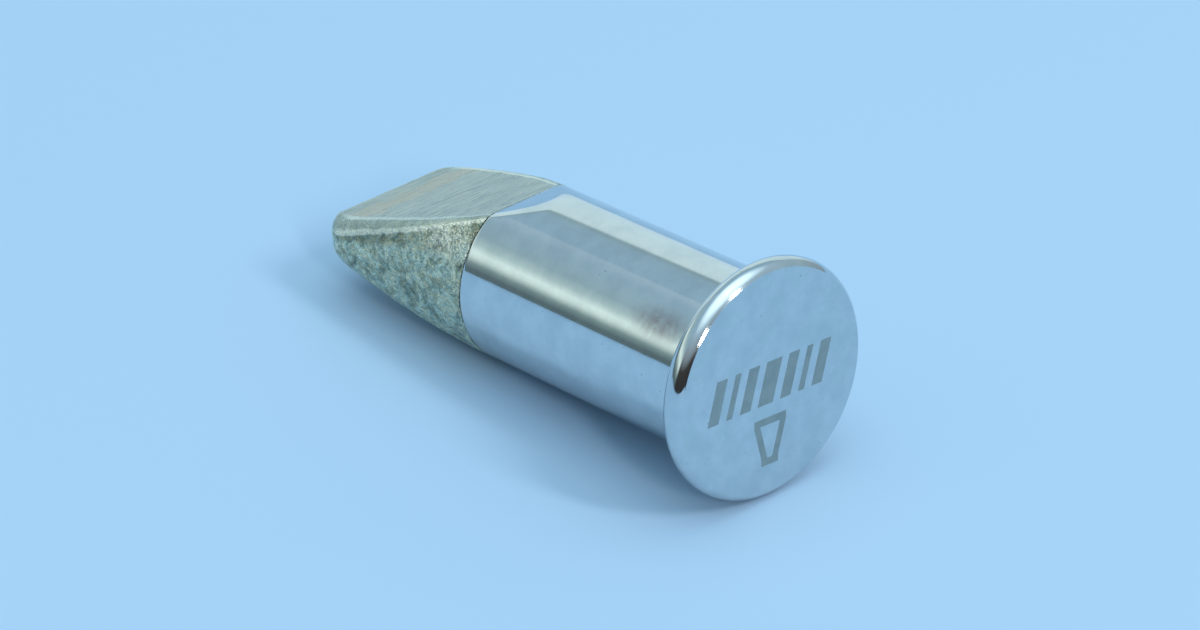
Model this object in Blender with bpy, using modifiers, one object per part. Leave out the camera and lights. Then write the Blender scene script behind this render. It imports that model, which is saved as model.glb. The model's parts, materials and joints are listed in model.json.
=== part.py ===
"""Chisel soldering tip with a flanged barrel, lying on its side as it rests on a bench.

The tip is one copper body under its coats: iron all over, nickel and chrome on the barrel and
the flange, tin on the chisel. Each coat is its own shell, nested in the next with a small gap.
Every piece is modelled about the tip's own axis, with z = 0 on the flat rear face and the nose
at z = TIP_LENGTH. An empty then lays the tip down: flange rim and lower barrel edge on z = 0,
nose towards -X. The world origin is under the middle of the lying tip.
"""
import bpy
import bmesh
from math import atan2, cos, pi, radians, sin, tan
from mathutils import Matrix, Vector

MM = 0.001

# Outer shape, millimetres and degrees
TIP_LENGTH = 25.5
BARREL_RADIUS = 4.25
FLANGE_RADIUS = 5.6
FLANGE_THICKNESS = 1.15
REAR_FACE_RADIUS = 5.3
FILLET_RADIUS = 0.85
CHISEL_HALF_ANGLE = 15.75
NOSE_THICKNESS = 1.8
NOSE_EDGE_RADIUS = 0.4
NOSE_CORNER_RADIUS = 0.9

# Coats, outermost first
CHROME_LENGTH = 15.7
CHROME_THICKNESS = 0.08
NICKEL_THICKNESS = 0.08
IRON_THICKNESS = 0.2
TIN_THICKNESS = 0.16
COAT_GAP = 0.03
CHROME_TO_TIN_GAP = 0.06

# Limits that keep the roundings possible when the sizes above are changed
LEAST_ROUNDING = 0.05
RIM_ROUNDING_SHARE = 0.45
FILLET_SHARE = 0.8
NOSE_EDGE_SHARE = 0.6

# Mesh fineness; the tip rests on one facet of the flange, which is wide enough to stop it rolling
TURNED_SEGMENTS = 28
ARC_STEPS = 6
FLAT_DOWN_TURN = pi / TURNED_SEGMENTS

# The blocks that cut the coats reach this far past the outside of the tip
CUTTER_REACH = 2 * FLANGE_RADIUS
PAST_NOSE = TIP_LENGTH + CUTTER_REACH

# How far each coat's outer surface lies under the outside of the tip
NICKEL_DEPTH = CHROME_THICKNESS + COAT_GAP
IRON_DEPTH = max(NICKEL_DEPTH + NICKEL_THICKNESS, TIN_THICKNESS) + COAT_GAP
COPPER_DEPTH = IRON_DEPTH + IRON_THICKNESS + COAT_GAP

# The iron and the copper end at the rear just inside the nickel
IRON_REAR = NICKEL_DEPTH + NICKEL_THICKNESS + COAT_GAP


def arc(centre, radius, start, end, steps=ARC_STEPS):
    """Points on a circular arc from start to end degrees, both ends included."""
    angles = [radians(start + (end - start) * i / steps) for i in range(steps + 1)]
    return [(centre[0] + radius * cos(a), centre[1] + radius * sin(a)) for a in angles]


def rim_rounding(depth):
    """Radius of the flange rim's edges, smaller the deeper the surface lies."""
    outside = min(FLANGE_RADIUS - REAR_FACE_RADIUS, RIM_ROUNDING_SHARE * FLANGE_THICKNESS)
    return max(outside - depth, LEAST_ROUNDING)


def turned_outline(depth, rear):
    """Half section (radius, z) of the tip, its side inset by depth and its rear face by rear."""
    barrel = BARREL_RADIUS - depth
    rim = FLANGE_RADIUS - depth
    front = FLANGE_THICKNESS - depth
    length = TIP_LENGTH - depth
    rounding = rim_rounding(depth)
    corner = max(NOSE_CORNER_RADIUS - depth, LEAST_ROUNDING)
    fillet = min(FILLET_RADIUS + depth, FILLET_SHARE * (rim - rounding - barrel))
    outline = [(0.0, length)]
    outline += arc((barrel - corner, length - corner), corner, 90, 0)
    outline += arc((barrel + fillet, front + fillet), fillet, 180, 270)
    outline += arc((rim - rounding, front - rounding), rounding, 90, 0, ARC_STEPS // 2)
    outline += arc((rim - rounding, rear + rounding), rounding, 0, -90, ARC_STEPS // 2)
    outline += [(0.0, rear)]
    return outline


def chisel_outline(depth):
    """Section (height, z) of the space the chisel fills, both flats and the nose inset by depth."""
    angle = radians(CHISEL_HALF_ANGLE)
    length = TIP_LENGTH - depth
    nose = NOSE_THICKNESS / 2 + depth * tan(angle) - depth / cos(angle)
    edge = min(NOSE_EDGE_RADIUS, NOSE_EDGE_SHARE * nose)
    tangent = edge * tan(radians(45) - angle / 2)
    centre = (nose - tangent, length - edge)
    upper = [(nose + (length + CUTTER_REACH) * tan(angle), -CUTTER_REACH)]
    upper += arc(centre, edge, CHISEL_HALF_ANGLE, 90)
    return upper + [(-height, z) for height, z in reversed(upper)]


def add_object(name, mesh, collection):
    """Put a mesh into the scene as an object of that collection."""
    piece = bpy.data.objects.new(name, mesh)
    collection.objects.link(piece)
    return piece


def turned_blank(name, depth, rear, collection):
    """The turned shape before the flats are ground: a half section spun about Z."""
    outline = [(radius * MM, 0.0, z * MM) for radius, z in turned_outline(depth, rear)]
    mesh = bpy.data.meshes.new(name)
    mesh.from_pydata(outline, [(i, i + 1) for i in range(len(outline) - 1)], [])
    mesh.transform(Matrix.Rotation(FLAT_DOWN_TURN, 4, "Z"))
    blank = add_object(name, mesh, collection)
    screw = blank.modifiers.new("turn", "SCREW")
    screw.axis = "Z"
    screw.steps = screw.render_steps = TURNED_SEGMENTS
    screw.use_merge_vertices = True
    screw.merge_threshold = 0.000001
    return blank


def chisel_prism(name, depth, collection):
    """A wedge wider than the tip, which keeps what lies between the two flats."""
    section = [Vector((-CUTTER_REACH * MM, y * MM, z * MM)) for y, z in chisel_outline(depth)]
    work = bmesh.new()
    face = work.faces.new([work.verts.new(point) for point in section])
    grown = bmesh.ops.extrude_face_region(work, geom=[face])
    moved = [v for v in grown["geom"] if isinstance(v, bmesh.types.BMVert)]
    bmesh.ops.translate(work, verts=moved, vec=Vector((2 * CUTTER_REACH * MM, 0.0, 0.0)))
    bmesh.ops.recalc_face_normals(work, faces=work.faces)
    mesh = bpy.data.meshes.new(name)
    work.to_mesh(mesh)
    work.free()
    return add_object(name, mesh, collection)


def slab(name, low, high, collection):
    """A square block about the axis from z = low to z = high, for cutting a coat to length."""
    side = 2 * CUTTER_REACH
    work = bmesh.new()
    bmesh.ops.create_cube(work, size=1.0)
    bmesh.ops.scale(work, vec=Vector((side, side, high - low)) * MM, verts=work.verts)
    bmesh.ops.translate(work, vec=Vector((0.0, 0.0, (low + high) / 2 * MM)), verts=work.verts)
    mesh = bpy.data.meshes.new(name)
    work.to_mesh(mesh)
    work.free()
    return add_object(name, mesh, collection)


def boolean(piece, operation, other):
    """Add one Boolean to the piece's stack."""
    step = piece.modifiers.new(operation.lower(), "BOOLEAN")
    step.operation = operation
    step.object = other


def tip_body(name, depth, rear, collection, cutters):
    """The tip's solid shape, inset by depth all round and by rear at the rear face."""
    body = turned_blank(name, depth, rear, collection)
    boolean(body, "INTERSECT", chisel_prism(name + "_flats", depth, cutters))
    return body


def coat(name, depth, thickness, rear, bore_rear, collection, cutters):
    """A shell of one thickness; a bore that starts behind the rear face leaves the rear open."""
    shell = tip_body(name, depth, rear, collection, cutters)
    boolean(shell, "DIFFERENCE", tip_body(name + "_bore", depth + thickness, bore_rear, cutters, cutters))
    return shell


def chrome_plating(parts, cutters):
    """Bright chrome over the rear face, the flange and the barrel, open towards the chisel."""
    shell = coat("chrome_plating", 0.0, CHROME_THICKNESS, 0.0, CHROME_THICKNESS, parts, cutters)
    boolean(shell, "DIFFERENCE", slab("past_chrome", CHROME_LENGTH, PAST_NOSE, cutters))
    return shell


def nickel_underplate(parts, cutters):
    """Nickel under the chrome, a little shorter than it."""
    inner_rear = NICKEL_DEPTH + NICKEL_THICKNESS
    shell = coat("nickel_underplate", NICKEL_DEPTH, NICKEL_THICKNESS, NICKEL_DEPTH, inner_rear,
                 parts, cutters)
    boolean(shell, "DIFFERENCE", slab("past_nickel", CHROME_LENGTH, PAST_NOSE, cutters))
    return shell


def tin_coat(parts, cutters):
    """Solder coat on the chisel, which starts where the chrome ends."""
    shell = coat("tin_coat", 0.0, TIN_THICKNESS, 0.0, TIN_THICKNESS, parts, cutters)
    start = CHROME_LENGTH + CHROME_TO_TIN_GAP
    boolean(shell, "DIFFERENCE", slab("before_tin", -CUTTER_REACH, start, cutters))
    return shell


def iron_plating(parts, cutters):
    """Iron jacket over the core; its bore runs out behind it, so it is open at the rear."""
    return coat("iron_plating", IRON_DEPTH, IRON_THICKNESS, IRON_REAR, -FLANGE_THICKNESS, parts, cutters)


def copper_core(parts, cutters):
    """The copper body that carries the heat."""
    return tip_body("copper_core", COPPER_DEPTH, IRON_REAR, parts, cutters)


def finish(name, colour, roughness):
    """A plain metal in the piece's own colour."""
    material = bpy.data.materials.new(name)
    material.use_nodes = True
    shader = material.node_tree.nodes["Principled BSDF"]
    shader.inputs["Base Color"].default_value = (*colour, 1.0)
    shader.inputs["Roughness"].default_value = roughness
    shader.inputs["Metallic"].default_value = 1.0
    material.diffuse_color = (*colour, 1.0)
    return material


def lying_pose():
    """World matrix of the tip's axes when flange rim and lower barrel edge both touch z = 0."""
    facet = cos(pi / TURNED_SEGMENTS)
    slope = tan(radians(CHISEL_HALF_ANGLE))
    rim_low = FLANGE_RADIUS * facet
    barrel_low = BARREL_RADIUS * facet
    rim_z = FLANGE_THICKNESS - rim_rounding(0.0)
    edge_z = TIP_LENGTH - (barrel_low - NOSE_THICKNESS / 2) / slope
    tilt = atan2(rim_low - barrel_low, edge_z - rim_z)
    height = rim_low * cos(tilt) + rim_z * sin(tilt)
    nose_x = -TIP_LENGTH * cos(tilt) - chisel_outline(0.0)[ARC_STEPS + 1][0] * sin(tilt)
    rear_x = REAR_FACE_RADIUS * facet * sin(tilt)
    across = Vector((0.0, -1.0, 0.0))
    up = Vector((-sin(tilt), 0.0, cos(tilt)))
    along = Vector((-cos(tilt), 0.0, -sin(tilt)))
    turn = Matrix((across, up, along)).transposed().to_4x4()
    return Matrix.Translation(Vector((-(nose_x + rear_x) / 2, 0.0, height)) * MM) @ turn


def clear_scene():
    """Start from an empty scene."""
    for item in list(bpy.data.objects):
        bpy.data.objects.remove(item, do_unlink=True)


def new_collection(name):
    """A collection of the scene."""
    collection = bpy.data.collections.new(name)
    bpy.context.scene.collection.children.link(collection)
    return collection


def main():
    clear_scene()
    parts = new_collection("soldering_tip")
    cutters = new_collection("cutters")
    pieces = [
        (chrome_plating(parts, cutters), finish("chrome", (0.74, 0.77, 0.82), 0.12)),
        (nickel_underplate(parts, cutters), finish("nickel", (0.66, 0.61, 0.53), 0.25)),
        (tin_coat(parts, cutters), finish("tinned", (0.50, 0.49, 0.42), 0.45)),
        (iron_plating(parts, cutters), finish("iron", (0.42, 0.41, 0.40), 0.4)),
        (copper_core(parts, cutters), finish("copper", (0.85, 0.42, 0.26), 0.3)),
    ]
    for piece, material in pieces:
        piece.data.materials.append(material)
    tip_axis = bpy.data.objects.new("tip_axis", None)
    parts.objects.link(tip_axis)
    tip_axis.matrix_world = lying_pose()
    for item in [*parts.objects, *cutters.objects]:
        if item is not tip_axis:
            item.parent = tip_axis
    for cutter in cutters.objects:
        cutter.hide_render = True
        cutter.display_type = "WIRE"
    bpy.context.view_layer.update()


main()
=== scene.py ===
"""Looks of a chisel soldering tip that lies on a pale bench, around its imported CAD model."""
import json
from math import atan2, cos, degrees, pi, radians, sin, tan

import bpy
from mathutils import Matrix, Vector, noise


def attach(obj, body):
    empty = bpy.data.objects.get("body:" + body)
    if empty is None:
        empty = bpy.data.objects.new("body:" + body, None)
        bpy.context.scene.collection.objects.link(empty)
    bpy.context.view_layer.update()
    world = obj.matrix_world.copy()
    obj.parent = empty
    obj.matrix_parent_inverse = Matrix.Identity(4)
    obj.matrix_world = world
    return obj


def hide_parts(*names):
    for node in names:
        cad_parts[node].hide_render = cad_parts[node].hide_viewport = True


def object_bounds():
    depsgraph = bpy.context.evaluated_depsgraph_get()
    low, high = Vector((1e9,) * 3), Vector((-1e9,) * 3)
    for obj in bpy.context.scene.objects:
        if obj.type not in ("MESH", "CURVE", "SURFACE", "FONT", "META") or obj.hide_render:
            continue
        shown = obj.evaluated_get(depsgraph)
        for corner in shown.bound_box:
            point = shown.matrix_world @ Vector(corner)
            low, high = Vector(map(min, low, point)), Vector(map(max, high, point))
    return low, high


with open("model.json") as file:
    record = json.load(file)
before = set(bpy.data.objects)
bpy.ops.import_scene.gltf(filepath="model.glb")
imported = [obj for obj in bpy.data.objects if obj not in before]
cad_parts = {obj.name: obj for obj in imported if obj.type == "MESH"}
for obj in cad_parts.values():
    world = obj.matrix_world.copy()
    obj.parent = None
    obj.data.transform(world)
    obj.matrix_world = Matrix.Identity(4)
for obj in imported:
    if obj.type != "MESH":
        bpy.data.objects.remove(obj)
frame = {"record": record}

MM = 0.001
MICRON = 0.000001
cad_low, cad_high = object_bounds()

# The tip's own axes: z runs from the rear face to the nose, y is square to the flats
seat = next(mount for mount in frame["record"]["mounts"] if mount["name"] == "heater_seat")
SEAT_CENTRE = Vector(seat["pos_m"])
ALONG = -Vector(seat["axis"]).normalized()
ACROSS = Vector((0.0, -1.0, 0.0))
SQUARE_TO_FLATS = ALONG.cross(ACROSS)
TIP_TO_BENCH = Matrix.Translation(SEAT_CENTRE) @ Matrix(
    (ACROSS, SQUARE_TO_FLATS, ALONG)).transposed().to_4x4()

# Sizes of the tip, millimetres, as the CAD model has them
FLANGE_RADIUS = cad_high.y / MM
BARREL_RADIUS = 4.225
FLANGE_THICKNESS = 1.15
REAR_FACE_RADIUS = FLANGE_RADIUS - 0.3
FILLET_RADIUS = 0.84
RIM_TURN = 58.0
TIP_LENGTH = 25.5
CHISEL_SLOPE = tan(radians(15.75))
NOSE_HALF_THICKNESS = 0.9
NOSE_EDGE_RADIUS = 0.52
NOSE_CORNER_RADIUS = 1.45
CHROME_LENGTH = 15.7

FLATS_BEGIN = 13.3
TIN_START = 15.76

# How finely the turned pieces are made, and how thick their skins are
AROUND = 360
CHROME_SKIN = 0.07
SOLDER_SKIN = 0.045

# How softly the ridges are rounded, and the shares of a quarter turn that each one lies between
CHROME_RIDGE_SOFTNESS = 0.16
TIN_RIDGE_RADIUS = 0.8
RIDGE_LIMIT = 0.66
SIDE_SHARE = 0.42
RIDGE_SHARE = 0.58

# The solder's unevenness, which starts past the chrome's edge, and its bead at the nose
SOLDER_UNEVENNESS = 0.03
SOLDER_CALM = 0.15
SOLDER_FADE = 0.8
NOSE_BEAD = 0.36
NOSE_BEAD_LENGTH = 2.0

# A stain on the barrel and a painted highlight on the solder, as (centre, half size) in the tip's own axes
BARREL_SMUDGE = ((3.1, 2.85, 3.5), (1.1, 1.0, 2.3))
SOLDER_PAINTED_HIGHLIGHT = ((3.4, 2.4, 17.2), (1.3, 1.3, 2.6))

# The etched mark on the rear face
ETCH_SUNK = 0.01
ETCH_PROUD = 0.004
MARK_TURN = 4.0


# ---------------------------------------------------------------- camera, lights and bench

def add_camera():
    """Camera a hand's width away, looking down on the rear face and the near side."""
    turn, height, roll = radians(47.16), radians(32.08), radians(0.93)
    distance = 199.4 * MM
    aim = Vector((1.51, 0.0, 3.89)) * MM
    back = Vector((sin(turn) * cos(height), -cos(turn) * cos(height), sin(height)))
    data = bpy.data.cameras.new("camera")
    data.lens = 133.6
    data.sensor_width = 36.0
    data.clip_start = 0.01
    camera = bpy.data.objects.new("camera", data)
    bpy.context.scene.collection.objects.link(camera)
    camera.rotation_mode = "QUATERNION"
    camera.location = aim + back * distance
    look = (-back).to_track_quat("-Z", "Y")
    camera.rotation_quaternion = look @ Matrix.Rotation(roll, 3, "Z").to_quaternion()
    bpy.context.scene.camera = camera


def add_softbox(name, azimuth, elevation, distance, size, power, colour=(1.0, 1.0, 1.0)):
    """Area light of (width, height) metres at compass angles seen from the tip, facing it."""
    data = bpy.data.lights.new(name, "AREA")
    data.shape = "RECTANGLE"
    data.size, data.size_y = size
    data.energy = power
    data.color = colour
    light = bpy.data.objects.new(name, data)
    bpy.context.scene.collection.objects.link(light)
    turn, height = radians(azimuth), radians(elevation)
    away = Vector((cos(turn) * cos(height), sin(turn) * cos(height), sin(height)))
    light.location = away * distance
    light.rotation_euler = away.to_track_quat("Z", "Y").to_euler()


def add_bench():
    """A large plain pale bench top at z = 0."""
    bpy.ops.mesh.primitive_plane_add(size=6.0)
    bench = bpy.context.object
    bench.name = "bench"
    material = bpy.data.materials.new("pale_bench")
    material.use_nodes = True
    shader = material.node_tree.nodes["Principled BSDF"]
    shader.inputs["Base Color"].default_value = (0.385, 0.545, 0.72, 1.0)
    shader.inputs["Roughness"].default_value = 0.9
    shader.inputs["Specular IOR Level"].default_value = 0.1
    bench.data.materials.append(material)


class NodeSheet:
    """Small helper that adds nodes to a tree and joins them."""

    def __init__(self, tree):
        self.tree = tree

    def put(self, socket, value):
        """Link an output to the socket, or write a plain value into it."""
        if isinstance(value, bpy.types.NodeSocket):
            self.tree.links.new(value, socket)
        elif value is not None:
            socket.default_value = value

    def math(self, operation, a, b=None):
        """One step of arithmetic."""
        node = self.tree.nodes.new("ShaderNodeMath")
        node.operation = operation
        self.put(node.inputs[0], a)
        self.put(node.inputs[1], b)
        return node.outputs[0]

    def times(self, a, b):
        """The product, mostly of two masks."""
        return self.math("MULTIPLY", a, b)

    def mapped(self, value, low, high, to_low=0.0, to_high=1.0, smooth=True):
        """The value taken from low..high to to_low..to_high, and held beyond the ends."""
        node = self.tree.nodes.new("ShaderNodeMapRange")
        node.interpolation_type = "SMOOTHSTEP" if smooth else "LINEAR"
        for socket, item in zip(node.inputs, (value, low, high, to_low, to_high)):
            self.put(socket, item)
        return node.outputs[0]

    def mix(self, amount, a, b, kind="MIX"):
        """Colour a turned towards b by the amount, or multiplied by it."""
        node = self.tree.nodes.new("ShaderNodeMix")
        node.data_type = "RGBA"
        node.blend_type = kind
        self.put(node.inputs[0], amount)
        self.put(node.inputs[6], a)
        self.put(node.inputs[7], b)
        return node.outputs[2]

    def split(self, vector):
        """The X, Y and Z of a vector."""
        node = self.tree.nodes.new("ShaderNodeSeparateXYZ")
        self.put(node.inputs[0], vector)
        return node.outputs

    def noise(self, vector, scale, detail=2.0, roughness=0.5, distortion=0.0):
        """Cloudy noise, about 0.5 in the middle."""
        node = self.tree.nodes.new("ShaderNodeTexNoise")
        self.put(node.inputs["Vector"], vector)
        node.inputs["Scale"].default_value = scale
        node.inputs["Detail"].default_value = detail
        node.inputs["Roughness"].default_value = roughness
        node.inputs["Distortion"].default_value = distortion
        return node.outputs["Fac"]

    def cells(self, vector, scale):
        """Distance to the middle of the nearest grain."""
        node = self.tree.nodes.new("ShaderNodeTexVoronoi")
        self.put(node.inputs["Vector"], vector)
        node.inputs["Scale"].default_value = scale
        return node.outputs["Distance"]

    def ramp(self, value, stops):
        """Colour read from a strip of (place, colour) stops."""
        node = self.tree.nodes.new("ShaderNodeValToRGB")
        band = node.color_ramp
        while len(band.elements) < len(stops):
            band.elements.new(1.0)
        for element, (place, colour) in zip(band.elements, stops):
            element.position = place
            element.color = (*colour, 1.0)
        self.put(node.inputs[0], value)
        return node.outputs[0]

    def bump(self, height, strength, distance, normal=None):
        """Surface direction tilted by a height, whose full depth is the distance in metres."""
        node = self.tree.nodes.new("ShaderNodeBump")
        node.inputs["Strength"].default_value = strength
        node.inputs["Distance"].default_value = distance
        self.put(node.inputs["Height"], height)
        self.put(node.inputs["Normal"], normal)
        return node.outputs[0]


def set_studio():
    """Soft room light, brightest in a long strip on the near left, on the wall behind and above."""
    world = bpy.data.worlds.new("studio")
    bpy.context.scene.world = world
    world.use_nodes = True
    sheet = NodeSheet(world.node_tree)
    background = world.node_tree.nodes["Background"]
    place = world.node_tree.nodes.new("ShaderNodeTexCoord")
    x, y, z = sheet.split(place.outputs["Generated"])
    elevation = sheet.times(sheet.math("ARCSINE", z), degrees(1.0))
    azimuth = sheet.times(sheet.math("ARCTAN2", y, x), degrees(1.0))
    height = sheet.mapped(elevation, -10.0, 90.0, smooth=False)

    def stops(*pairs):
        return [((degrees_up + 10.0) / 100.0, colour) for degrees_up, colour in pairs]

    # Radiances are halved here, and doubled again by the background's strength
    near_left = sheet.ramp(height, stops(
        (-4.0, (0.060, 0.085, 0.090)), (4.0, (0.070, 0.105, 0.115)), (9.0, (0.14, 0.20, 0.20)),
        (14.5, (0.44, 0.53, 0.50)), (18.0, (0.50, 0.60, 0.57)), (23.5, (0.30, 0.39, 0.39)),
        (30.0, (0.20, 0.285, 0.32)), (48.0, (0.19, 0.29, 0.37)), (66.0, (0.62, 0.80, 0.88)),
        (90.0, (0.80, 0.98, 1.04))))
    far_wall = sheet.ramp(height, stops(
        (0.0, (0.31, 0.43, 0.53)), (6.0, (0.36, 0.47, 0.51)), (30.0, (0.38, 0.48, 0.50)),
        (31.5, (0.16, 0.23, 0.25)), (35.0, (0.185, 0.28, 0.34)), (48.0, (0.19, 0.29, 0.37)),
        (66.0, (0.62, 0.80, 0.88)), (90.0, (0.80, 0.98, 1.04))))
    behind_camera = sheet.ramp(height, stops(
        (0.0, (0.022, 0.022, 0.023)), (17.0, (0.030, 0.028, 0.028)), (27.0, (0.15, 0.18, 0.20)),
        (48.0, (0.24, 0.33, 0.40)), (66.0, (0.62, 0.80, 0.88)), (90.0, (0.80, 0.98, 1.04))))
    room = sheet.ramp(height, stops(
        (0.0, (0.16, 0.21, 0.24)), (20.0, (0.20, 0.28, 0.32)), (48.0, (0.24, 0.33, 0.40)),
        (66.0, (0.62, 0.80, 0.88)), (90.0, (0.80, 0.98, 1.04))))
    on_left = sheet.times(sheet.mapped(azimuth, -178.0, -165.0),
                         sheet.mapped(azimuth, -105.0, -85.0, 1.0, 0.0))
    on_wall = sheet.mapped(azimuth, 96.0, 116.0)
    light = sheet.mix(on_left, sheet.mix(on_wall, room, far_wall), near_left)
    light = sheet.mix(sheet.times(sheet.mapped(azimuth, -112.0, -98.0),
                                 sheet.mapped(azimuth, -8.0, 6.0, 1.0, 0.0)), light, behind_camera)
    seen = world.node_tree.nodes.new("ShaderNodeLightPath")
    shown = sheet.mix(seen.outputs["Is Camera Ray"], light, (0.37, 0.42, 0.46, 1.0))
    sheet.put(background.inputs["Color"], shown)
    background.inputs["Strength"].default_value = 2.0


# ---------------------------------------------------------------- shaping the metal

def arc(centre, radius, start, end, steps):
    """(radius, z) points on a circular arc from start to end degrees, both ends included."""
    angles = [radians(start + (end - start) * i / steps) for i in range(steps + 1)]
    return [(centre[0] + radius * cos(a), centre[1] + radius * sin(a)) for a in angles]


def straight(radius, start, end, step):
    """(radius, z) points along a cylinder, about one step apart, without the first one."""
    count = max(1, round(abs(end - start) / step))
    return [(radius, start + (end - start) * (i + 1) / count) for i in range(count)]


def turn_on_lathe(name, outline):
    """Grow a circle ring by ring through (radius, z) points, and close it on the axis."""
    bpy.ops.object.select_all(action="DESELECT")
    radius, z = outline[0]
    bpy.ops.mesh.primitive_circle_add(vertices=AROUND, radius=radius * MM, location=(0.0, 0.0, z * MM))
    piece = bpy.context.object
    piece.name = name
    bpy.ops.object.transform_apply(location=True, rotation=False, scale=False)
    bpy.ops.object.mode_set(mode="EDIT")
    bpy.ops.mesh.select_mode(type="VERT")
    bpy.ops.mesh.select_all(action="SELECT")
    for next_radius, next_z in outline[1:]:
        bpy.ops.mesh.extrude_region_move(
            TRANSFORM_OT_translate={"value": (0.0, 0.0, (next_z - z) * MM)})
        ratio = next_radius / radius
        bpy.ops.transform.resize(value=(ratio, ratio, 1.0), center_override=(0.0, 0.0, next_z * MM))
        radius, z = next_radius, next_z
    bpy.ops.mesh.extrude_region_move(TRANSFORM_OT_translate={"value": (0.0, 0.0, 0.0)})
    bpy.ops.mesh.merge(type="CENTER")
    bpy.ops.mesh.select_all(action="SELECT")
    bpy.ops.mesh.normals_make_consistent(inside=False)
    bpy.ops.object.mode_set(mode="OBJECT")
    return piece


def soft_lower(a, b, softness):
    """The lower of two values, with a rounded change from one to the other."""
    overlap = max(softness - abs(a - b), 0.0) / softness
    return min(a, b) - overlap * overlap * softness / 4.0


def flat_height(z):
    """Height of a ground flat above the axis at z, with the nose edge's rounding."""
    height = NOSE_HALF_THICKNESS + (TIP_LENGTH - z) * CHISEL_SLOPE
    tangent = NOSE_EDGE_RADIUS * tan(radians(45.0) - atan2(CHISEL_SLOPE, 1.0) / 2.0)
    over = z - (TIP_LENGTH - NOSE_EDGE_RADIUS)
    if over > NOSE_EDGE_RADIUS * sin(atan2(CHISEL_SLOPE, 1.0)):
        reach = max(NOSE_EDGE_RADIUS ** 2 - over ** 2, 0.0)
        return NOSE_HALF_THICKNESS - tangent + reach ** 0.5
    return height


def side_radius(z):
    """Radius of the chisel's two round sides at z, with the nose corners' rounding."""
    over = z - (TIP_LENGTH - NOSE_CORNER_RADIUS)
    if over <= 0.0:
        return BARREL_RADIUS
    return BARREL_RADIUS - NOSE_CORNER_RADIUS + max(NOSE_CORNER_RADIUS ** 2 - over ** 2, 0.0) ** 0.5


def chisel_section(turn, z):
    """Point of the chisel's section at z for a turn of 0..1 from mid side to mid flat."""
    radius, height = side_radius(z), flat_height(z)
    ridge = min(TIN_RIDGE_RADIUS, RIDGE_LIMIT * height)
    ridge_x = ((radius - ridge) ** 2 - (height - ridge) ** 2) ** 0.5
    ridge_angle = atan2(height - ridge, ridge_x)
    if turn < SIDE_SHARE:
        angle = ridge_angle * turn / SIDE_SHARE
        return radius * cos(angle), radius * sin(angle)
    if turn < RIDGE_SHARE:
        part = (turn - SIDE_SHARE) / (RIDGE_SHARE - SIDE_SHARE)
        angle = ridge_angle + (pi / 2 - ridge_angle) * part
        return ridge_x + ridge * cos(angle), height - ridge + ridge * sin(angle)
    return ridge_x * (1.0 - (turn - RIDGE_SHARE) / (1.0 - RIDGE_SHARE)), height


def grind_barrel(piece):
    """Grind the two flats into the turned barrel, with softly rounded ridges."""
    for vert in piece.data.vertices:
        height = flat_height(vert.co.z / MM) * MM
        if vert.co.z > FLATS_BEGIN * MM and abs(vert.co.y) > height - CHROME_RIDGE_SOFTNESS * MM:
            ground = soft_lower(abs(vert.co.y), height, CHROME_RIDGE_SOFTNESS * MM)
            vert.co.y = ground if vert.co.y > 0.0 else -ground


def grind_chisel(piece):
    """Grind a turned blank to the chisel's section, and note each point's place in it."""
    place = piece.data.attributes.new("section", "FLOAT", "POINT")
    for vert in piece.data.vertices:
        x, y, z = vert.co / MM
        radius = (x * x + y * y) ** 0.5
        if radius < 0.001:
            continue
        turn = atan2(abs(y), abs(x)) / (pi / 2)
        place.data[vert.index].value = turn
        new_x, new_y = chisel_section(turn, z)
        share = radius / side_radius(z)
        vert.co.x = (new_x if x > 0.0 else -new_x) * share * MM
        vert.co.y = (new_y if y > 0.0 else -new_y) * share * MM


def flow_solder(piece):
    """Leave the solder slightly uneven, thin where it meets the chrome and fuller at the nose."""
    moves = []
    for vert in piece.data.vertices:
        spot = vert.co / MM
        fade = min(max((spot.z - TIN_START - SOLDER_CALM) / SOLDER_FADE, 0.0), 1.0)
        waves = noise.noise(spot * 0.7) * 0.6 + noise.noise(spot * 1.9) * 0.4
        past = (spot.z - TIP_LENGTH + NOSE_BEAD_LENGTH) / NOSE_BEAD_LENGTH
        bead = NOSE_BEAD * min(max(past, 0.0), 1.0) ** 2
        moves.append((vert.normal * (waves - 0.35) * SOLDER_UNEVENNESS * fade
                      + Vector((0.0, 0.0, bead))) * MM)
    for vert, move in zip(piece.data.vertices, moves):
        vert.co += move


def thicken(piece, thickness):
    """Give the skin its thickness, inwards, and keep it."""
    solid = piece.modifiers.new("thickness", "SOLIDIFY")
    solid.thickness = thickness * MM
    solid.offset = -1.0
    solid.use_even_offset = True
    bpy.ops.object.select_all(action="DESELECT")
    piece.select_set(True)
    bpy.context.view_layer.objects.active = piece
    bpy.ops.object.modifier_apply(modifier=solid.name)


def smooth_faces(piece, angle=40.0):
    """Shade the curved faces smooth, and leave real corners sharp."""
    bpy.ops.object.select_all(action="DESELECT")
    piece.select_set(True)
    bpy.context.view_layer.objects.active = piece
    bpy.ops.object.shade_smooth_by_angle(angle=radians(angle))


def lay_down(piece, node, material):
    """Turn the finished piece from the tip's own axes to how it lies, and dress it."""
    piece.data.transform(TIP_TO_BENCH)
    piece.data.materials.clear()
    piece.data.materials.append(material)
    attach(piece, "root")
    if node:
        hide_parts(node)


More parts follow.
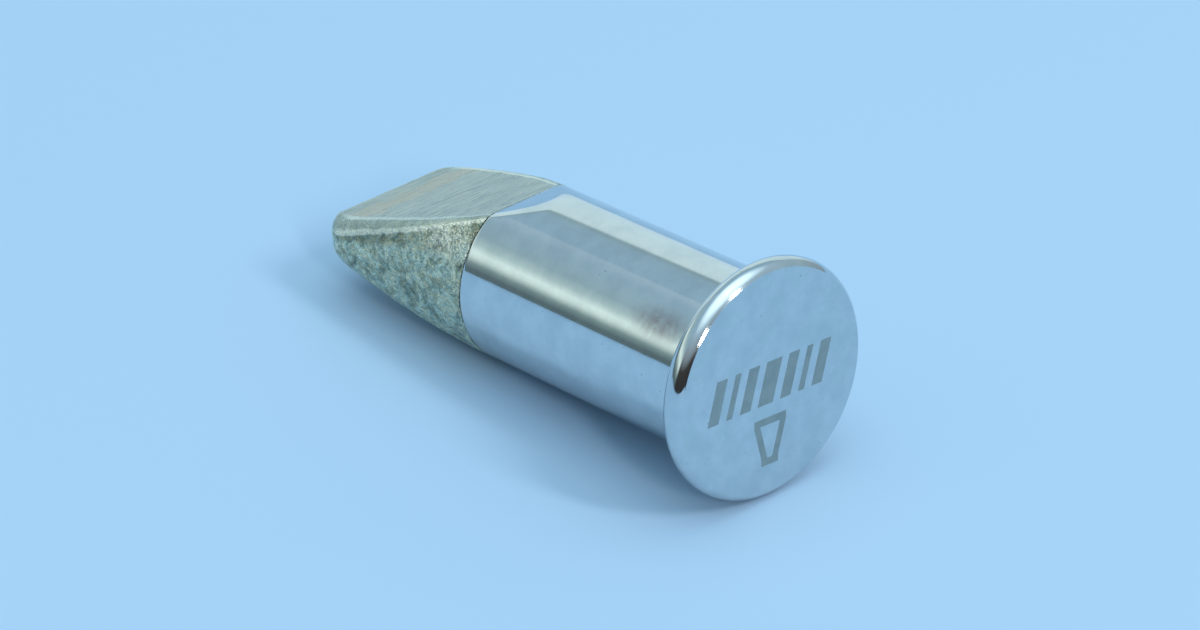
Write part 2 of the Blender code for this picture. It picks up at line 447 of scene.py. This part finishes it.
def chrome_shell():
    """Bright plating over the rear face, the flange, its fillet and the barrel."""
    rim = FLANGE_RADIUS - REAR_FACE_RADIUS
    outline = [(BARREL_RADIUS - 0.03, CHROME_LENGTH), (BARREL_RADIUS - 0.008, CHROME_LENGTH - 0.012),
               (BARREL_RADIUS, CHROME_LENGTH - 0.04)]
    outline += straight(BARREL_RADIUS, CHROME_LENGTH - 0.04, FLATS_BEGIN, 0.08)
    outline += straight(BARREL_RADIUS, FLATS_BEGIN, FLANGE_THICKNESS + FILLET_RADIUS + 0.04, 0.6)
    outline += arc((BARREL_RADIUS + FILLET_RADIUS, FLANGE_THICKNESS + FILLET_RADIUS),
                   FILLET_RADIUS, 180.0, 270.0, 18)
    outline += [(REAR_FACE_RADIUS - 0.03, FLANGE_THICKNESS)]
    bead = rim / (1.0 - cos(radians(RIM_TURN)))
    reach = bead * sin(radians(RIM_TURN))
    outline += arc((FLANGE_RADIUS - bead, FLANGE_THICKNESS - reach), bead, RIM_TURN, 0.0, 14)
    outline += arc((FLANGE_RADIUS - bead, reach), bead, 0.0, -RIM_TURN, 14)
    outline += [(radius, 0.0) for radius in (REAR_FACE_RADIUS - 0.02, 4.6, 3.4, 2.2, 1.0, 0.3)]
    piece = turn_on_lathe("chrome_shell", outline)
    grind_barrel(piece)
    thicken(piece, CHROME_SKIN)
    smooth_faces(piece, 25.0)
    return piece


def tinned_chisel():
    """Solder coat over the ground chisel, from the chrome's edge round the nose."""
    outline = [(BARREL_RADIUS, TIN_START)]
    outline += straight(BARREL_RADIUS, TIN_START, TIP_LENGTH - NOSE_CORNER_RADIUS, 0.14)
    corner = arc((BARREL_RADIUS - NOSE_CORNER_RADIUS, TIP_LENGTH - NOSE_CORNER_RADIUS),
                 NOSE_CORNER_RADIUS, 0.0, 90.0, 26)
    outline += corner[1:]
    end = corner[-1][0]
    outline += [(end * share, TIP_LENGTH) for share in (0.985, 0.85, 0.6, 0.3, 0.08)]
    piece = turn_on_lathe("tinned_chisel", outline)
    grind_chisel(piece)
    flow_solder(piece)
    thicken(piece, SOLDER_SKIN)
    smooth_faces(piece)
    return piece


def etched_plate(corners, turn):
    """One flat matt patch of the mark, from its corners in millimetres on the rear face."""
    bpy.ops.object.select_all(action="DESELECT")
    bpy.ops.mesh.primitive_circle_add(vertices=len(corners), radius=MM, fill_type="NGON",
                                      location=(0.0, 0.0, ETCH_SUNK * MM))
    patch = bpy.context.object
    bpy.ops.object.transform_apply(location=True, rotation=False, scale=False)
    for vert, (x, y) in zip(patch.data.vertices, corners):
        vert.co.x, vert.co.y = x * MM, y * MM
    bpy.ops.object.mode_set(mode="EDIT")
    bpy.ops.mesh.select_all(action="SELECT")
    bpy.ops.mesh.extrude_region_move(
        TRANSFORM_OT_translate={"value": (0.0, 0.0, -(ETCH_SUNK + ETCH_PROUD) * MM)})
    bpy.ops.mesh.select_all(action="SELECT")
    bpy.ops.mesh.normals_make_consistent(inside=False)
    bpy.ops.object.mode_set(mode="OBJECT")
    patch.data.transform(Matrix.Rotation(radians(turn), 4, "Z"))
    return patch


def etched_mark():
    """A plain workshop mark on the rear face: a row of slanted bars over a small chisel outline."""
    # Corners as (right, up) on the face as it is read from behind, where right is -x
    shapes = []
    low, high, lean = -0.95, 1.05, 0.28
    for middle, width in ((-3.2, 0.62), (-2.25, 0.34), (-1.3, 0.62), (-0.1, 0.90),
                          (1.1, 0.62), (2.05, 0.34), (3.0, 0.62)):
        left, right = middle - width / 2, middle + width / 2
        shapes.append([(left + lean * low, low), (right + lean * low, low),
                       (right + lean * high, high), (left + lean * high, high)])
    shapes.append([(-0.55, -3.9), (0.45, -3.9), (0.45, -3.55), (-0.55, -3.55)])
    shapes.append([(-0.55, -3.55), (-0.2, -3.55), (-0.65, -1.95), (-1.0, -1.95)])
    shapes.append([(0.1, -3.55), (0.45, -3.55), (0.9, -1.95), (0.55, -1.95)])
    shapes.append([(-1.0, -1.95), (0.9, -1.95), (0.9, -1.6), (-1.0, -1.6)])
    patches = [etched_plate([(-right, up) for right, up in shape], MARK_TURN) for shape in shapes]
    bpy.ops.object.select_all(action="DESELECT")
    for patch in patches:
        patch.select_set(True)
    bpy.context.view_layer.objects.active = patches[0]
    bpy.ops.object.join()
    mark = bpy.context.object
    mark.name = "etched_mark"
    return mark


# ---------------------------------------------------------------- materials

def metal(name, slot_colour=(0.7, 0.7, 0.7)):
    """A metal material, its sheet, its shader and a vector in the tip's own millimetres."""
    material = bpy.data.materials.new(name)
    material.use_nodes = True
    material.diffuse_color = (*slot_colour, 1.0)
    sheet = NodeSheet(material.node_tree)
    shader = material.node_tree.nodes["Principled BSDF"]
    shader.inputs["Metallic"].default_value = 1.0
    place = material.node_tree.nodes.new("ShaderNodeTexCoord")
    to_tip = material.node_tree.nodes.new("ShaderNodeMapping")
    to_tip.vector_type = "TEXTURE"
    to_tip.inputs["Location"].default_value = SEAT_CENTRE
    to_tip.inputs["Rotation"].default_value = TIP_TO_BENCH.to_euler("XYZ")
    to_tip.inputs["Scale"].default_value = (MM, MM, MM)
    sheet.put(to_tip.inputs["Vector"], place.outputs["Object"])
    return material, sheet, shader, to_tip.outputs["Vector"]


def stretched(sheet, vector, x, y, z):
    """The vector with each axis scaled, for marks that run one way."""
    scale = sheet.tree.nodes.new("ShaderNodeVectorMath")
    scale.operation = "MULTIPLY"
    sheet.put(scale.inputs[0], vector)
    scale.inputs[1].default_value = (x, y, z)
    return scale.outputs[0]


def near(sheet, vector, centre, size):
    """1 at a spot, falling softly to 0 at an ellipsoid of that size about it."""
    shift = sheet.tree.nodes.new("ShaderNodeVectorMath")
    shift.operation = "SUBTRACT"
    sheet.put(shift.inputs[0], vector)
    shift.inputs[1].default_value = centre
    length = sheet.tree.nodes.new("ShaderNodeVectorMath")
    length.operation = "LENGTH"
    sheet.put(length.inputs[0], stretched(sheet, shift.outputs[0], *(1.0 / s for s in size)))
    return sheet.mapped(length.outputs["Value"], 0.0, 1.0, 1.0, 0.0)


def bright_chrome():
    """Hard bright plating over fine turning marks, a little smudged near the flange."""
    material, sheet, shader, tip = metal("bright_chrome", (0.74, 0.77, 0.82))
    z = sheet.split(tip)["Z"]
    turning = sheet.noise(stretched(sheet, tip, 0.25, 0.25, 16.0), 1.0, 4.0, 0.65)
    haze = sheet.noise(tip, 0.8, 4.0, 0.6)
    grime = sheet.noise(stretched(sheet, tip, 1.0, 1.0, 1.6), 1.1, 8.0, 0.62, 0.4)
    behind = sheet.mapped(z, 0.02, 0.0)
    smudge = sheet.times(near(sheet, tip, *BARREL_SMUDGE),
                        sheet.mapped(grime, 0.20, 0.70))
    base = sheet.mix(sheet.mapped(haze, 0.3, 0.7),
                     (0.57, 0.615, 0.635, 1.0), (0.65, 0.69, 0.70, 1.0))
    cloudy = sheet.noise(tip, 0.55, 6.0, 0.68, 0.5)
    film = sheet.times(behind, sheet.mapped(cloudy, 0.44, 0.62))
    base = sheet.mix(sheet.times(film, 0.30), base, (0.50, 0.60, 0.60, 1.0))
    base = sheet.mix(sheet.times(smudge, 0.85), base, (0.27, 0.20, 0.22, 1.0))
    specks = sheet.cells(tip, 1.7)
    pits = sheet.mapped(specks, 0.10, 0.06, 0.0, 0.55)
    pits = sheet.times(pits, sheet.mapped(haze, 0.5, 0.62))
    base = sheet.mix(pits, base, (0.25, 0.29, 0.31, 1.0))
    sheet.put(shader.inputs["Base Color"], base)
    rough = sheet.mapped(turning, 0.25, 0.75, 0.035, 0.10)
    rough = sheet.math("ADD", rough, sheet.times(smudge, 0.22))
    sheet.put(shader.inputs["Roughness"], rough)
    ripples = sheet.bump(turning, 1.0, 0.4 * MICRON)
    peel = sheet.noise(tip, 1.3, 3.0, 0.55)
    sheet.put(shader.inputs["Normal"],
              sheet.bump(sheet.times(peel, behind), 1.0, 7.0 * MICRON, ripples))
    return material


def tinned_solder():
    """Grainy solder: speckled on the round sides, satin with crosswise streaks on the flats."""
    material, sheet, shader, tip = metal("tinned_solder", (0.50, 0.49, 0.42))
    _, y, z = sheet.split(tip)
    place = material.node_tree.nodes.new("ShaderNodeAttribute")
    place.attribute_name = "section"
    wander = sheet.math("SUBTRACT", sheet.noise(tip, 2.2, 4.0, 0.7), 0.5)
    wander = sheet.times(wander, 0.05)
    section = sheet.math("ADD", place.outputs["Fac"], wander)
    on_flat = sheet.mapped(section, RIDGE_SHARE - 0.02, RIDGE_SHARE + 0.01)
    on_ridge = sheet.mapped(section, SIDE_SHARE - 0.01, SIDE_SHARE + 0.04)
    # Two painted highlights run along the ridge, and painted shade darkens the upper side just under them
    painted_upper_highlight = sheet.times(sheet.mapped(section, 0.535, 0.56),
                             sheet.mapped(section, 0.575, 0.60, 1.0, 0.0))
    painted_lower_highlight = sheet.times(sheet.mapped(section, 0.400, 0.422),
                             sheet.mapped(section, 0.445, 0.470, 1.0, 0.0))
    painted_shade_under_ridge = sheet.times(sheet.mapped(section, 0.20, 0.34),
                              sheet.mapped(section, 0.39, 0.43, 1.0, 0.0))
    upper_side = sheet.mapped(y, -0.3, 0.5)
    before_nose = sheet.mapped(z, 24.3, 25.0, 1.0, 0.0)
    painted_upper_highlight = sheet.times(painted_upper_highlight, before_nose)
    painted_lower_highlight = sheet.times(painted_lower_highlight, before_nose)

    grain = sheet.noise(tip, 4.2, 7.0, 0.74, 0.9)
    fine = sheet.noise(tip, 13.0, 4.0, 0.7)
    blotches = sheet.noise(tip, 1.15, 4.0, 0.6, 1.2)
    hue = sheet.noise(tip, 2.6, 4.0, 0.6)
    crystals = sheet.cells(tip, 7.0)
    mottle = sheet.math("ADD", sheet.times(grain, 0.46),
                        sheet.math("ADD", sheet.times(fine, 0.14), sheet.times(blotches, 0.40)))
    side = sheet.ramp(mottle, [
        (0.36, (0.12, 0.14, 0.12)), (0.455, (0.36, 0.41, 0.34)), (0.51, (0.60, 0.65, 0.56)),
        (0.565, (0.88, 0.89, 0.74)), (0.64, (1.0, 0.99, 0.86))])
    side = sheet.mix(1.0, side, sheet.mix(sheet.mapped(hue, 0.42, 0.58), (0.95, 1.03, 1.0, 1.0),
                                          (1.10, 1.02, 0.86, 1.0)), "MULTIPLY")
    # Painted shade: the upper side darkened just under the ridge
    side = sheet.mix(sheet.times(sheet.times(painted_shade_under_ridge, upper_side), 0.55), side,
                     (0.42, 0.37, 0.28, 1.0), "MULTIPLY")
    ridge = sheet.mix(sheet.mapped(fine, 0.35, 0.65), (0.36, 0.39, 0.33, 1.0), (0.52, 0.54, 0.46, 1.0))
    side = sheet.mix(sheet.times(on_ridge, 0.75), side, ridge)
    # Painted highlight: the bright lower line along the ridge, grainy, kept to the upper side
    painted_glint = sheet.times(painted_lower_highlight, sheet.mapped(mottle, 0.42, 0.52, 0.6, 1.0))
    side = sheet.mix(sheet.times(painted_glint, upper_side), side, (1.0, 0.92, 0.72, 1.0))
    # Painted highlight of the softbox on the solder side near the chrome, speckled by the grain
    painted_softbox_highlight = sheet.times(near(sheet, tip, *SOLDER_PAINTED_HIGHLIGHT),
                       sheet.mapped(grain, 0.40, 0.58, 0.2, 1.0))
    side = sheet.mix(painted_softbox_highlight, side, (0.98, 0.90, 0.70, 1.0))

    streaks = sheet.noise(stretched(sheet, tip, 0.55, 3.0, 6.0), 1.0, 7.0, 0.7, 0.9)
    clouds = sheet.noise(stretched(sheet, tip, 0.7, 1.0, 1.3), 1.3, 5.0, 0.65)
    flat = sheet.ramp(streaks, [
        (0.28, (0.34, 0.37, 0.32)), (0.5, (0.54, 0.56, 0.48)), (0.72, (0.72, 0.69, 0.56))])
    worn = sheet.math("ADD", z, sheet.times(clouds, 2.6))
    worn_band = sheet.times(sheet.mapped(worn, 23.9, 24.7),
                           sheet.mapped(worn, 25.3, 26.0, 1.0, 0.0))
    flat = sheet.mix(sheet.times(worn_band, 0.8), flat, (0.66, 0.565, 0.42, 1.0))
    both = sheet.mix(on_flat, side, flat)
    # Painted highlight: the bright upper line along the flat's edge
    both = sheet.mix(sheet.times(painted_upper_highlight, 0.8), both, (0.95, 0.93, 0.78, 1.0))

    sheet.put(shader.inputs["Base Color"], both)
    side_rough = sheet.mapped(fine, 0.3, 0.7, 0.20, 0.38)
    sheet.put(shader.inputs["Roughness"],
              sheet.mix(on_flat, side_rough, sheet.mapped(streaks, 0.3, 0.7, 0.24, 0.38)))
    bumps = sheet.math("ADD", grain, sheet.times(crystals, 0.6))
    heights = sheet.mix(on_flat, bumps, sheet.times(streaks, 0.13))
    strength = sheet.mapped(on_ridge, 0.0, 1.0, 0.42, 0.24)
    relief = sheet.bump(heights, 0.75, 0.13)
    sheet.put(relief.node.inputs["Strength"], strength)
    sheet.put(shader.inputs["Normal"], relief)
    return material


def matt_etching():
    """Laser-etched chrome: dull, greenish grey, finely grained."""
    material, sheet, shader, tip = metal("matt_etching", (0.35, 0.42, 0.43))
    grain = sheet.noise(tip, 14.0, 4.0, 0.7)
    cloud = sheet.noise(tip, 1.2, 2.0)
    tone = sheet.mix(sheet.mapped(cloud, 0.3, 0.7), (0.22, 0.30, 0.31, 1.0), (0.27, 0.35, 0.36, 1.0))
    sheet.put(shader.inputs["Base Color"], sheet.mix(sheet.mapped(grain, 0.35, 0.65, 0.0, 0.3), tone,
                                                     (0.36, 0.43, 0.44, 1.0)))
    sheet.put(shader.inputs["Roughness"], sheet.mapped(grain, 0.3, 0.7, 0.5, 0.65))
    sheet.put(shader.inputs["Normal"], sheet.bump(grain, 1.0, 6.0 * MICRON))
    shader.inputs["Metallic"].default_value = 0.7
    return material


def hidden_metal(name, dark, light, roughness, grain_scale):
    """Turned or plated metal under the coats, with fine turning marks and a slight cloud."""
    material, sheet, shader, tip = metal(name, light)
    turning = sheet.noise(stretched(sheet, tip, 0.3, 0.3, grain_scale), 1.0, 4.0, 0.6)
    cloud = sheet.noise(tip, 0.9, 3.0)
    tone = sheet.mix(sheet.mapped(cloud, 0.3, 0.7), (*dark, 1.0), (*light, 1.0))
    sheet.put(shader.inputs["Base Color"], sheet.mix(sheet.mapped(turning, 0.3, 0.7, 0.0, 0.35), tone,
                                                     (*dark, 1.0)))
    sheet.put(shader.inputs["Roughness"], sheet.mapped(turning, 0.3, 0.7, roughness, roughness + 0.15))
    sheet.put(shader.inputs["Normal"], sheet.bump(turning, 1.0, 3.0 * MICRON))
    return material


def dress_hidden_nodes():
    """Give the coats and the core under the chrome and the tin their own metals."""
    metals = {
        "copper_core": hidden_metal("turned_copper", (0.62, 0.26, 0.14), (0.85, 0.42, 0.26), 0.25, 9.0),
        "iron_plating": hidden_metal("iron_plate", (0.22, 0.21, 0.20), (0.42, 0.41, 0.40), 0.40, 5.0),
        "nickel_underplate": hidden_metal("nickel_plate", (0.48, 0.44, 0.38), (0.66, 0.61, 0.53), 0.22, 12.0),
    }
    for name, material in metals.items():
        for slot in bpy.data.objects[name].material_slots:
            slot.material = material


# ---------------------------------------------------------------- everything in order


bpy.context.scene.view_settings.view_transform = "Standard"
set_studio()
add_softbox("lamp_right", 16.0, 45.0, 0.9, (0.10, 0.28), 2.2)
add_softbox("lamp_front", -22.0, 31.0, 0.9, (0.07, 0.18), 1.4)
add_camera()
add_bench()
lay_down(chrome_shell(), "chrome_plating", bright_chrome())
lay_down(tinned_chisel(), "tin_coat", tinned_solder())
lay_down(etched_mark(), None, matt_etching())
dress_hidden_nodes()
